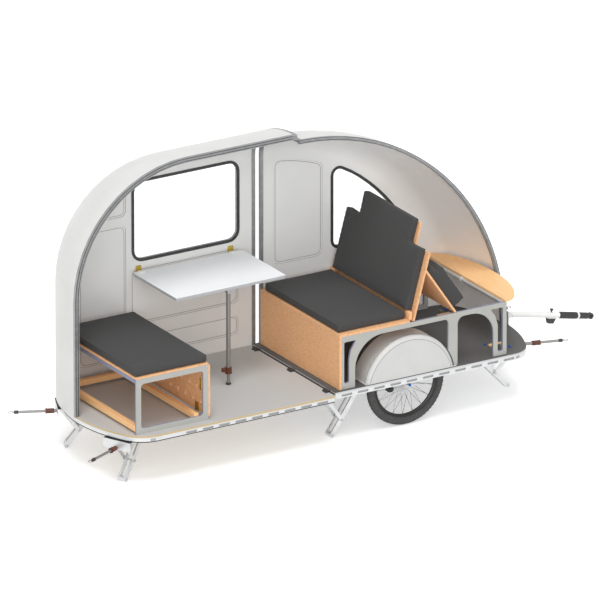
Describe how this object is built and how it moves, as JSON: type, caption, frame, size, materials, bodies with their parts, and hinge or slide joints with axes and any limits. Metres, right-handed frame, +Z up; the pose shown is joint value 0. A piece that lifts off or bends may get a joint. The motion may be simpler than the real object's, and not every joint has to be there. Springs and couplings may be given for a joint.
{
  "type": "bicycle camper trailer",
  "caption": "Small folding camper trailer for a bicycle, set up with bench, table and couch, shown with the near half of its shell left off.",
  "frame": {"origin": "on the ground under the middle of the object's box", "axes": "+X towards the drawbar, +Y towards the side whose shell is kept, +Z up"},
  "size_m": [3.726, 0.9892, 1.788],
  "materials": {
    "shell": "smooth white laminate",
    "floor": "grey panel",
    "deck": "dark grey panel",
    "aluminium": "drawn profile",
    "rubber": "black seal",
    "glass": "clear pane",
    "cushion": "dark grey cover over foam",
    "chipboard": "bare chipboard",
    "wood": "light wood",
    "frame": "grey paint",
    "table": "light laminate",
    "tyre": "rubber",
    "black": "black"
  },
  "bodies": {
    "camper": {"rear_floor": "floor", "rear_rim": "aluminium", "front_deck": "deck", "front_rim": "aluminium", "seam_hinge": "black", "rear_shell": "shell", "rear_shell_frame": "aluminium", "front_shell": "shell", "front_shell_frame": "aluminium", "rear_window_seal": "rubber", "rear_window_pane": "glass", "front_window_seal": "rubber", "front_window_pane": "glass", "axle_beam": "black", "housing_near": "shell", "housing_far": "shell", "bench_frame_near": "frame", "bench_frame_far": "frame", "bench_battens": "wood", "bench_rear_bar": "aluminium", "bench_board": "chipboard", "bench_cushion": "cushion", "bed_end_panel": "chipboard", "couch_frame_near": "frame", "couch_frame_far": "frame", "seat_board": "chipboard", "seat_cushion": "cushion", "cross_tube": "aluminium", "nose_shelf": "wood", "backrest_board": "chipboard", "backrest_cushion": "cushion", "prop_board": "chipboard", "spare_cushion": "cushion", "table_leaf": "table", "table_leg": "aluminium", "strut_rear_near": "aluminium", "strut_rear_far": "aluminium", "strut_front_near": "aluminium", "strut_front_far": "aluminium"},
    "wheel_near": {"wheel_near": "aluminium", "tyre_near": "tyre"},
    "wheel_far": {"wheel_far": "aluminium", "tyre_far": "tyre"},
    "drawbar": {"drawbar": "aluminium", "drawbar_grip": "black", "hitch_head": "black"},
    "leg_rear_near": {"leg_rear_near": "aluminium"},
    "brace_rear_near": {"brace_rear_near": "aluminium"},
    "leg_rear_far": {"leg_rear_far": "aluminium"},
    "brace_rear_far": {"brace_rear_far": "aluminium"},
    "leg_mid_near": {"leg_mid_near": "aluminium"},
    "brace_mid_near": {"brace_mid_near": "aluminium"},
    "leg_mid_far": {"leg_mid_far": "aluminium"},
    "brace_mid_far": {"brace_mid_far": "aluminium"},
    "leg_front_near": {"leg_front_near": "aluminium"},
    "brace_front_near": {"brace_front_near": "aluminium"},
    "leg_front_far": {"leg_front_far": "aluminium"},
    "brace_front_far": {"brace_front_far": "aluminium"},
    "bench_flap": {"bench_flap": "chipboard"},
    "table_leg_foot": {"table_leg_foot": "aluminium"}
  },
  "joints": [
    {"name": "wheel_near_spin", "type": "hinge", "parent": "camper", "child": "wheel_near", "pos_m": [0.31151, -0.39, 0.262], "axis": [0, 1, 0], "continuous": true},
    {"name": "wheel_far_spin", "type": "hinge", "parent": "camper", "child": "wheel_far", "pos_m": [0.31151, 0.39, 0.262], "axis": [0, 1, 0], "continuous": true},
    {"name": "drawbar_pitch", "type": "hinge", "parent": "camper", "child": "drawbar", "pos_m": [1.26851, 0, 0.374], "axis": [0, 1, 0], "range_deg": [-45, 20]},
    {"name": "leg_rear_near_fold", "type": "hinge", "parent": "camper", "child": "leg_rear_near", "pos_m": [-1.41749, -0.248, 0.2515], "axis": [0.4179, -0.9085, 0], "range_deg": [0, 127]},
    {"name": "brace_rear_near_fold", "type": "hinge", "parent": "leg_rear_near", "child": "brace_rear_near", "pos_m": [-1.51683, -0.29369, 0.11104], "axis": [0.4179, -0.9085, 0], "range_deg": [-254.5, 0]},
    {"name": "leg_rear_far_fold", "type": "hinge", "parent": "camper", "child": "leg_rear_far", "pos_m": [-1.41749, 0.248, 0.2515], "axis": [-0.4179, -0.9085, 0], "range_deg": [0, 127]},
    {"name": "brace_rear_far_fold", "type": "hinge", "parent": "leg_rear_far", "child": "brace_rear_far", "pos_m": [-1.51683, 0.29369, 0.11104], "axis": [-0.4179, -0.9085, 0], "range_deg": [-254.5, 0]},
    {"name": "leg_mid_near_fold", "type": "hinge", "parent": "camper", "child": "leg_mid_near", "pos_m": [-0.01249, -0.34, 0.2515], "axis": [0, -1, 0], "range_deg": [-54, 0]},
    {"name": "brace_mid_near_fold", "type": "hinge", "parent": "leg_mid_near", "child": "brace_mid_near", "pos_m": [-0.1147, -0.34, 0.10334], "axis": [0, -1, 0], "range_deg": [0, 108.5]},
    {"name": "leg_mid_far_fold", "type": "hinge", "parent": "camper", "child": "leg_mid_far", "pos_m": [-0.01249, 0.34, 0.2515], "axis": [0, -1, 0], "range_deg": [-54, 0]},
    {"name": "brace_mid_far_fold", "type": "hinge", "parent": "leg_mid_far", "child": "brace_mid_far", "pos_m": [-0.1147, 0.34, 0.10334], "axis": [0, -1, 0], "range_deg": [0, 108.5]},
    {"name": "leg_front_near_fold", "type": "hinge", "parent": "camper", "child": "leg_front_near", "pos_m": [0.88651, -0.34, 0.2515], "axis": [0, 1, 0], "range_deg": [-46, 0]},
    {"name": "brace_front_near_fold", "type": "hinge", "parent": "leg_front_near", "child": "brace_front_near", "pos_m": [0.94847, -0.34, 0.18622], "axis": [0, 1, 0], "range_deg": [0, 92.5]},
    {"name": "leg_front_far_fold", "type": "hinge", "parent": "camper", "child": "leg_front_far", "pos_m": [0.88651, 0.34, 0.2515], "axis": [0, 1, 0], "range_deg": [-46, 0]},
    {"name": "brace_front_far_fold", "type": "hinge", "parent": "leg_front_far", "child": "brace_front_far", "pos_m": [0.94847, 0.34, 0.18622], "axis": [0, 1, 0], "range_deg": [0, 92.5]},
    {"name": "bench_flap_fold", "type": "hinge", "parent": "camper", "child": "bench_flap", "pos_m": [-1.05519, 0, 0.336], "axis": [0, 1, 0], "range_deg": [0, 90]},
    {"name": "table_foot_slide", "type": "slide", "parent": "camper", "child": "table_leg_foot", "axis": [0, 0, 1], "range_m": [0, 0.055]}
  ],
  "couplings": [
    {"joint": "brace_rear_near_fold", "follows": "leg_rear_near_fold", "ratio": -2},
    {"joint": "brace_rear_far_fold", "follows": "leg_rear_far_fold", "ratio": -2},
    {"joint": "brace_mid_near_fold", "follows": "leg_mid_near_fold", "ratio": -2},
    {"joint": "brace_mid_far_fold", "follows": "leg_mid_far_fold", "ratio": -2},
    {"joint": "brace_front_near_fold", "follows": "leg_front_near_fold", "ratio": -2},
    {"joint": "brace_front_far_fold", "follows": "leg_front_far_fold", "ratio": -2}
  ]
}
